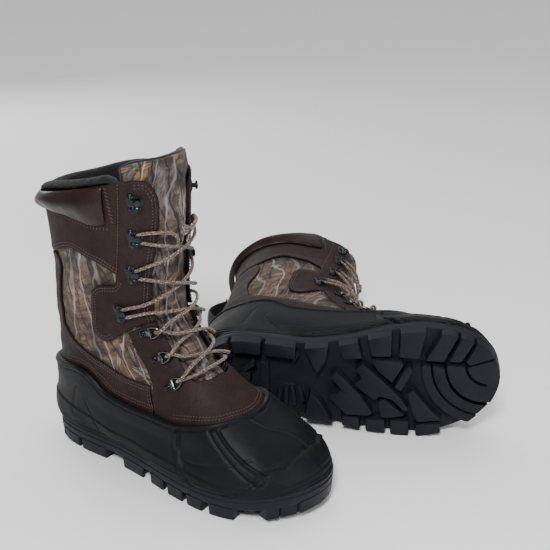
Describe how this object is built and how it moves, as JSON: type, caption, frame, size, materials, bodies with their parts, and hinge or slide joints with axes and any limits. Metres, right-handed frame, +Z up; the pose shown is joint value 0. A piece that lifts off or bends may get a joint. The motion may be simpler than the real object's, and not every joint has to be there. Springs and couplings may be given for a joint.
{
  "type": "insulated hunting boots",
  "caption": "Pair of insulated lace-up hunting boots, one standing and one lying on its side: rubber shell foot, camouflage and leather shaft.",
  "frame": {"origin": "centre of the pair's bounding box, on the ground plane that both boots rest on", "axes": "+Z up; +X to the right when facing the lying boot's tread; the standing boot points to +X and -Y, and the lying boot's toe points to +X"},
  "size_m": [0.467, 0.4796, 0.3189],
  "materials": {
    "outsole_rubber": "Black lugged rubber, matt with a soft sheen and worn lug edges",
    "shell_rubber": "Black moulded rubber shell, satin",
    "fibre_board": "Compressed fibre insole board",
    "spring_steel": "Plain spring steel",
    "insulated_lining": "Black brushed fleece over insulation",
    "footbed_foam": "Felt-covered foam",
    "camouflage_fabric": "Woven nylon with a printed bark, branch and leaf pattern in grey, brown and tan",
    "brown_leather": "Dark brown full-grain leather, fine pebble grain, matt",
    "padded_leather": "Dark brown glossy leather over foam",
    "webbing": "Black woven webbing",
    "lace_cord": "Round braided lace, brown with tan flecks",
    "black_nickel": "Polished black nickel on steel"
  },
  "bodies": {
    "boots": {"right_outsole": "outsole_rubber", "right_rubber_shell": "shell_rubber", "right_insole_board": "fibre_board", "right_shank": "spring_steel", "right_liner": "insulated_lining", "right_footbed": "footbed_foam", "right_camo_quarters": "camouflage_fabric", "right_cuff": "brown_leather", "right_foxing": "brown_leather", "right_vamp": "brown_leather", "right_collar_pad": "padded_leather", "right_pull_loop": "webbing", "right_eyelet_strip_outer": "black_nickel", "right_eyelet_strip_inner": "black_nickel", "right_lace": "lace_cord", "right_hook_outer_1": "black_nickel", "right_hook_outer_2": "black_nickel", "right_hook_outer_3": "black_nickel", "right_hook_outer_4": "black_nickel", "right_hook_inner_1": "black_nickel", "right_hook_inner_2": "black_nickel", "right_hook_inner_3": "black_nickel", "right_hook_inner_4": "black_nickel", "left_outsole": "outsole_rubber", "left_rubber_shell": "shell_rubber", "left_insole_board": "fibre_board", "left_shank": "spring_steel", "left_liner": "insulated_lining", "left_footbed": "footbed_foam", "left_camo_quarters": "camouflage_fabric", "left_cuff": "brown_leather", "left_foxing": "brown_leather", "left_vamp": "brown_leather", "left_collar_pad": "padded_leather", "left_pull_loop": "webbing", "left_eyelet_strip_outer": "black_nickel", "left_eyelet_strip_inner": "black_nickel", "left_lace": "lace_cord", "left_hook_outer_1": "black_nickel", "left_hook_outer_2": "black_nickel", "left_hook_outer_3": "black_nickel", "left_hook_outer_4": "black_nickel", "left_hook_inner_1": "black_nickel", "left_hook_inner_2": "black_nickel", "left_hook_inner_3": "black_nickel", "left_hook_inner_4": "black_nickel"},
    "right_tongue": {"right_tongue": "camouflage_fabric"},
    "right_d_ring_outer_1": {"right_d_ring_outer_1": "black_nickel"},
    "right_d_ring_outer_2": {"right_d_ring_outer_2": "black_nickel"},
    "right_d_ring_outer_3": {"right_d_ring_outer_3": "black_nickel"},
    "right_d_ring_inner_1": {"right_d_ring_inner_1": "black_nickel"},
    "right_d_ring_inner_2": {"right_d_ring_inner_2": "black_nickel"},
    "right_d_ring_inner_3": {"right_d_ring_inner_3": "black_nickel"},
    "left_tongue": {"left_tongue": "camouflage_fabric"},
    "left_d_ring_outer_1": {"left_d_ring_outer_1": "black_nickel"},
    "left_d_ring_outer_2": {"left_d_ring_outer_2": "black_nickel"},
    "left_d_ring_outer_3": {"left_d_ring_outer_3": "black_nickel"},
    "left_d_ring_inner_1": {"left_d_ring_inner_1": "black_nickel"},
    "left_d_ring_inner_2": {"left_d_ring_inner_2": "black_nickel"},
    "left_d_ring_inner_3": {"left_d_ring_inner_3": "black_nickel"}
  },
  "joints": [
    {"name": "right_tongue_hinge", "type": "hinge", "parent": "boots", "child": "right_tongue", "pos_m": [-0.05864, -0.15205, 0.10368], "axis": [-0.5736, -0.8192, 0], "range_deg": [0, 4], "stiffness_Nm_per_rad": 1.5},
    {"name": "right_d_ring_outer_1_hinge", "type": "hinge", "parent": "boots", "child": "right_d_ring_outer_1", "pos_m": [-0.11795, -0.15186, 0.14948], "axis": [0.2666, -0.1445, -0.9529], "range_deg": [-4, 12], "deforming": ["right_lace"]},
    {"name": "right_d_ring_outer_2_hinge", "type": "hinge", "parent": "boots", "child": "right_d_ring_outer_2", "pos_m": [-0.10798, -0.15851, 0.12706], "axis": [0.3302, -0.3279, -0.8851], "range_deg": [-4, 12], "deforming": ["right_lace"]},
    {"name": "right_d_ring_outer_3_hinge", "type": "hinge", "parent": "boots", "child": "right_d_ring_outer_3", "pos_m": [-0.09617, -0.17035, 0.1055], "axis": [0.3738, -0.5313, -0.7602], "range_deg": [-4, 12], "deforming": ["right_lace"]},
    {"name": "right_d_ring_inner_1_hinge", "type": "hinge", "parent": "boots", "child": "right_d_ring_inner_1", "pos_m": [-0.0791, -0.09639, 0.14948], "axis": [-0.2269, 0.2011, 0.9529], "range_deg": [-4, 12], "deforming": ["right_lace"]},
    {"name": "right_d_ring_inner_2_hinge", "type": "hinge", "parent": "boots", "child": "right_d_ring_inner_2", "pos_m": [-0.06945, -0.10348, 0.12706], "axis": [-0.4211, 0.1982, 0.8851], "range_deg": [-4, 12], "deforming": ["right_lace"]},
    {"name": "right_d_ring_inner_3_hinge", "type": "hinge", "parent": "boots", "child": "right_d_ring_inner_3", "pos_m": [-0.05429, -0.11052, 0.1055], "axis": [-0.6271, 0.1696, 0.7602], "range_deg": [-4, 12], "deforming": ["right_lace"]},
    {"name": "left_tongue_hinge", "type": "hinge", "parent": "boots", "child": "left_tongue", "pos_m": [0.1211, 0.02065, 0.06422], "axis": [-0.004, -0.0347, 0.9994], "range_deg": [0, 4], "stiffness_Nm_per_rad": 1.5},
    {"name": "left_d_ring_outer_1_hinge", "type": "hinge", "parent": "boots", "child": "left_d_ring_outer_1", "pos_m": [0.07803, 0.07281, 0.03198], "axis": [-0.1914, 0.9815, -0.0013], "range_deg": [-4, 12], "deforming": ["left_lace"]},
    {"name": "left_d_ring_outer_2_hinge", "type": "hinge", "parent": "boots", "child": "left_d_ring_outer_2", "pos_m": [0.0874, 0.04918, 0.03147], "axis": [-0.3559, 0.928, 0.11], "range_deg": [-4, 12], "deforming": ["left_lace"]},
    {"name": "left_d_ring_outer_3_hinge", "type": "hinge", "parent": "boots", "child": "left_d_ring_outer_3", "pos_m": [0.10132, 0.02601, 0.0278], "axis": [-0.5219, 0.8164, 0.2472], "range_deg": [-4, 12], "deforming": ["left_lace"]},
    {"name": "left_d_ring_inner_1_hinge", "type": "hinge", "parent": "boots", "child": "left_d_ring_inner_1", "pos_m": [0.07776, 0.07046, 0.09966], "axis": [0.1917, -0.9791, -0.0678], "range_deg": [-4, 12], "deforming": ["left_lace"]},
    {"name": "left_d_ring_inner_2_hinge", "type": "hinge", "parent": "boots", "child": "left_d_ring_inner_2", "pos_m": [0.08713, 0.04685, 0.09861], "axis": [0.3552, -0.9335, 0.0483], "range_deg": [-4, 12], "deforming": ["left_lace"]},
    {"name": "left_d_ring_inner_3_hinge", "type": "hinge", "parent": "boots", "child": "left_d_ring_inner_3", "pos_m": [0.10103, 0.02348, 0.10078], "axis": [0.5202, -0.8317, 0.1941], "range_deg": [-4, 12], "deforming": ["left_lace"]}
  ]
}
